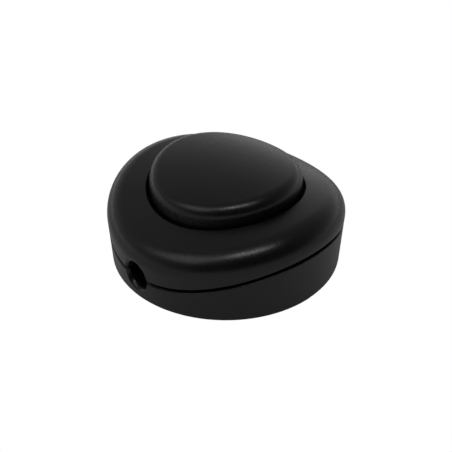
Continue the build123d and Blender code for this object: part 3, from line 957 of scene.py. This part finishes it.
@dataclass
class ContactSet:
    """The moving and fixed contacts, the terminals and their clamping screws."""

    screw: ThreadedScrew = TERMINAL_SCREW
    brass_nodes: Sequence[str] = (
        "live_in_terminal",
        "live_out_terminal",
        "neutral_link",
        "earth_link",
        "fixed_contact",
    )
    terminal_offset: float = 17.5 * MM
    terminal_y: float = 2.5 * MM
    link_offset: float = 17.2 * MM
    link_screw_offset: float = 5.5 * MM
    seat: float = 9.4 * MM

    def build(self) -> None:
        """Dresses the contacts and terminals and models the clamping screws."""
        dress(BRASS, self.brass_nodes)
        dress(BRONZE, ("contact_leaf",))
        dress(SILVER, ("leaf_contact_tip", "fixed_contact_tip"))
        spots = [(side * self.terminal_offset, self.terminal_y) for side in (-1, 1)]
        for side in (-1, 1):
            spots += [
                (along * self.link_screw_offset, side * self.link_offset) for along in (-1, 1)
            ]
        places = [Matrix.Translation((x, y, self.seat)) for x, y in spots]
        self.screw.place("terminal_screws", places)


@dataclass
class CordFixing:
    """The two straps that hold the cord and their screws."""

    screw: ThreadedScrew = SHORT_SCREW
    offset: float = 27.25 * MM
    half_span: float = 7.2 * MM
    seat: float = 10.806 * MM

    def build(self) -> None:
        """Dresses the straps and models their screws."""
        dress(CLAMP_BLACK, ("inlet_cord_clamp", "outlet_cord_clamp"))
        spots = [(x * self.offset, y * self.half_span) for x in (-1, 1) for y in (-1, 1)]
        places = [Matrix.Translation((x, y, self.seat)) for x, y in spots]
        self.screw.place("cord_clamp_screws", places)


@dataclass(frozen=True)
class SoftLight:
    """One soft studio lamp that faces the switch."""

    name: str
    place: Point
    width: float
    depth: float
    radiance: float
    aim: Point = (0.0, 0.0, 0.015)

    def build(self) -> None:
        """Makes the lamp, which the camera doesn't see."""
        lamp = bpy.data.lights.new(self.name, "AREA")
        lamp.shape = "RECTANGLE"
        lamp.size = self.width
        lamp.size_y = self.depth
        lamp.energy = self.radiance * pi * self.width * self.depth
        holder = bpy.data.objects.new(self.name, lamp)
        holder.location = self.place
        way = Vector(self.aim) - Vector(self.place)
        holder.rotation_euler = way.to_track_quat("-Z", "Y").to_euler()
        holder.visible_camera = False
        bpy.context.scene.collection.objects.link(holder)


@dataclass
class Studio:
    """A plain pale floor, a soft surround with a bright horizon, and two soft lamps."""

    floor_size: float = 8.0
    seen_level: float = 1.0
    floor_bounce: float = 0.92
    front_level: float = 0.03
    side_level: float = 0.25
    back_gain: float = 0.3
    back_way: Point = (0.5, 0.866, 0.0)
    high_share: float = 0.5
    fade_from: float = 0.05
    fade_to: float = 0.7
    glow_gain: float = 2.2
    glow_height: float = 0.12
    lamps: Sequence[SoftLight] = (
        SoftLight(
            "overhead_key", (-0.223, -0.287, 0.932), width=0.52, depth=0.124, radiance=7.6
        ),
        SoftLight("left_fill", (-0.605, 0.201, 0.77), width=0.62, depth=0.45, radiance=1.0),
    )

    def build(self) -> None:
        """Makes the floor, the surround and the lamps."""
        bpy.context.scene.view_settings.view_transform = "Standard"
        self.build_floor()
        self.build_surround()
        for lamp in self.lamps:
            lamp.build()

    def build_floor(self) -> None:
        """Makes the pale floor, which bounces less light than it shows."""
        Workbench.clear()
        bpy.ops.mesh.primitive_plane_add(size=self.floor_size)
        floor = bpy.context.object
        floor.name = "pale_floor"
        material, sheet = new_material("pale_paper")
        bounced = sheet.put("ShaderNodeBsdfDiffuse", {"Color": rgba(WHITE, self.floor_bounce)})
        seen = sheet.put(
            "ShaderNodeEmission", {"Color": rgba(WHITE), "Strength": self.seen_level}
        )
        sheet.put("ShaderNodeOutputMaterial", {"Surface": sheet.camera_apart(bounced, seen)})
        floor.data.materials.append(material)

    def build_surround(self) -> None:
        """Makes the surround: bright at the horizon, brighter behind than in front, dim above."""
        world = bpy.data.worlds.new("soft_surround")
        bpy.context.scene.world = world
        world.use_nodes = True
        sheet = ShaderSheet(world.node_tree)
        way = sheet.put("ShaderNodeTexCoord").outputs["Generated"]
        rise = sheet.put("ShaderNodeSeparateXYZ", {0: way}).outputs["Z"]
        back = sheet.put(
            "ShaderNodeVectorMath", {0: way, 1: self.back_way}, operation="DOT_PRODUCT"
        )
        backed = sheet.math("MULTIPLY", back.outputs["Value"], self.back_gain)
        turned = sheet.math("ADD", backed, self.side_level)
        around = sheet.math("MAXIMUM", turned, self.front_level)
        high = sheet.remap(rise, self.fade_from, self.fade_to, 1.0, self.high_share)
        glow = sheet.remap(rise, 0.0, self.glow_height, self.glow_gain, 0.0)
        level = sheet.math("MULTIPLY", around, sheet.math("ADD", high, glow))
        lit, seen = (
            sheet.put("ShaderNodeBackground", {"Color": rgba(WHITE), "Strength": strength})
            for strength in (level, self.seen_level)
        )
        sheet.put("ShaderNodeOutputWorld", {"Surface": sheet.camera_apart(lit, seen)})


@dataclass
class PhotoCamera:
    """The camera at the photograph's angle."""

    azimuth: float = -43.63
    elevation: float = 35.379
    distance: float = 237.2 * MM
    aim: Point = (2.34 * MM, 2.429 * MM, 5.328 * MM)
    lens: float = 61.83
    sensor_width: float = 36.0
    clip_start: float = 10.0 * MM

    def build(self) -> None:
        """Makes the camera and puts the scene on it."""
        camera = bpy.data.cameras.new("photo_camera")
        camera.lens = self.lens
        camera.sensor_width = self.sensor_width
        camera.clip_start = self.clip_start
        holder = bpy.data.objects.new("photo_camera", camera)
        turn, rise = radians(self.azimuth), radians(self.elevation)
        away = Vector((sin(turn) * cos(rise), -cos(turn) * cos(rise), sin(rise)))
        holder.location = Vector(self.aim) + away * self.distance
        holder.rotation_euler = (-away).to_track_quat("-Z", "Y").to_euler()
        bpy.context.scene.collection.objects.link(holder)
        bpy.context.scene.camera = holder


def main() -> None:
    """Builds the camera, the studio and every sub-assembly in order."""
    logging.basicConfig(level=logging.INFO, format="%(name)s: %(message)s")
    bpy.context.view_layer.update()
    Workbench.clear()
    for part in (
        PhotoCamera(),
        Studio(),
        Housing(),
        PressButton(),
        RatchetMechanism(),
        ContactSet(),
        CordFixing(),
    ):
        part.build()
        LOG.info("%s is built", type(part).__name__)


if __name__ == "__main__":
    main()
